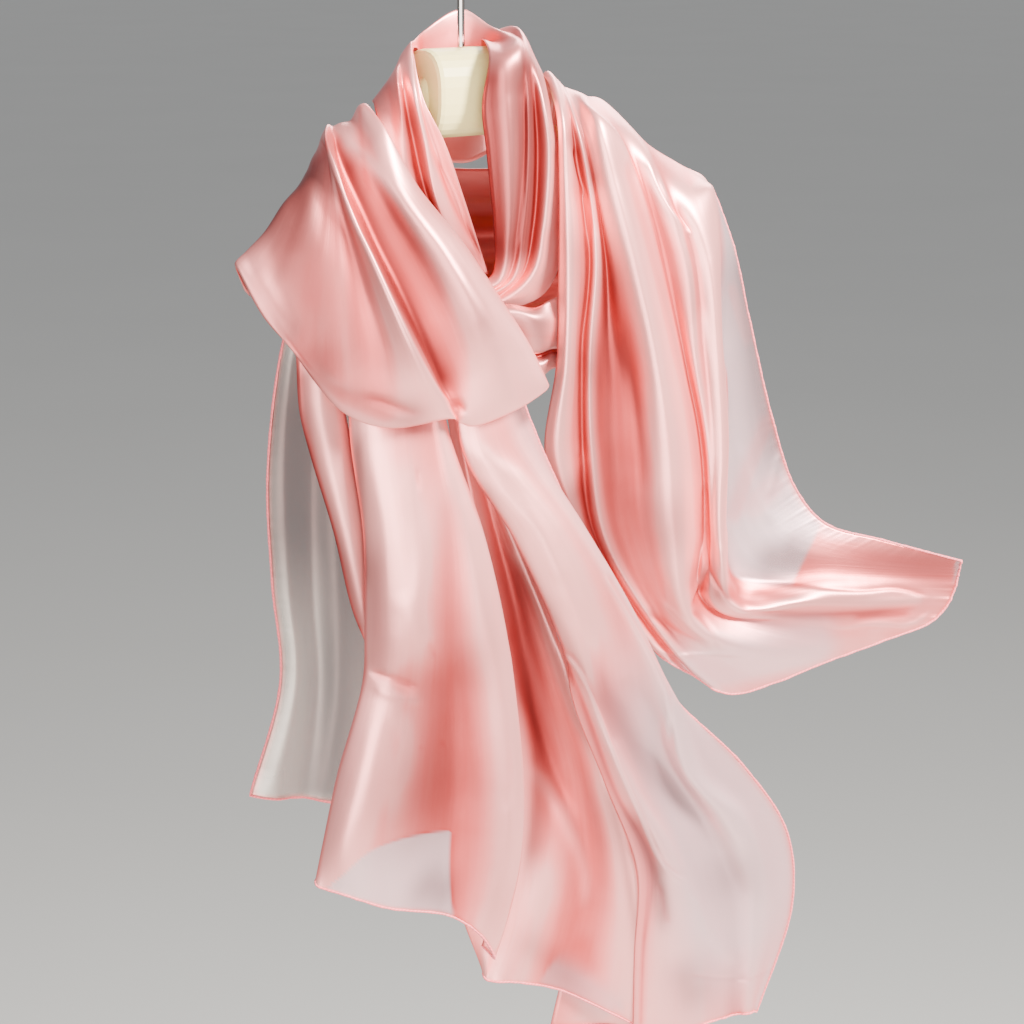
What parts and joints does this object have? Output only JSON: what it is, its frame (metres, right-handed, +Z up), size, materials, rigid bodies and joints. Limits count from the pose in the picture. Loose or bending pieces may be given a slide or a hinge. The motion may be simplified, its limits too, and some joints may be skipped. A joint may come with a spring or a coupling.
{
  "type": "hijab scarf on a hanger",
  "caption": "Long satin hijab scarf wound in soft folds round the neck of a moulded hanger, its loose ends falling in front and flung out at the side.",
  "frame": {"origin": "the point under the top of the hook's inner curve, where the hook bears on a rail", "axes": "+Z up; X runs across the front, positive to the viewer's right; +Y runs away from the viewer"},
  "size_m": [0.5563, 0.2645, 0.8572],
  "materials": {
    "satin": "satin weave, soft sheen",
    "sheer_satin": "single layer of satin, slightly see-through",
    "ivory_plastic": "glossy",
    "polished_steel": "polished"
  },
  "bodies": {
    "root": {"hanger_body": "ivory_plastic", "hanger_hook": "polished_steel", "neck_wrap": "satin", "crossing": "satin", "cowl": "satin", "front_tail_left": "satin", "front_tail_middle": "satin", "front_tail_right": "satin", "side_pleat": "satin", "right_panel": "satin", "back_drape": "satin", "back_tail": "sheer_satin"}
  },
  "joints": []
}
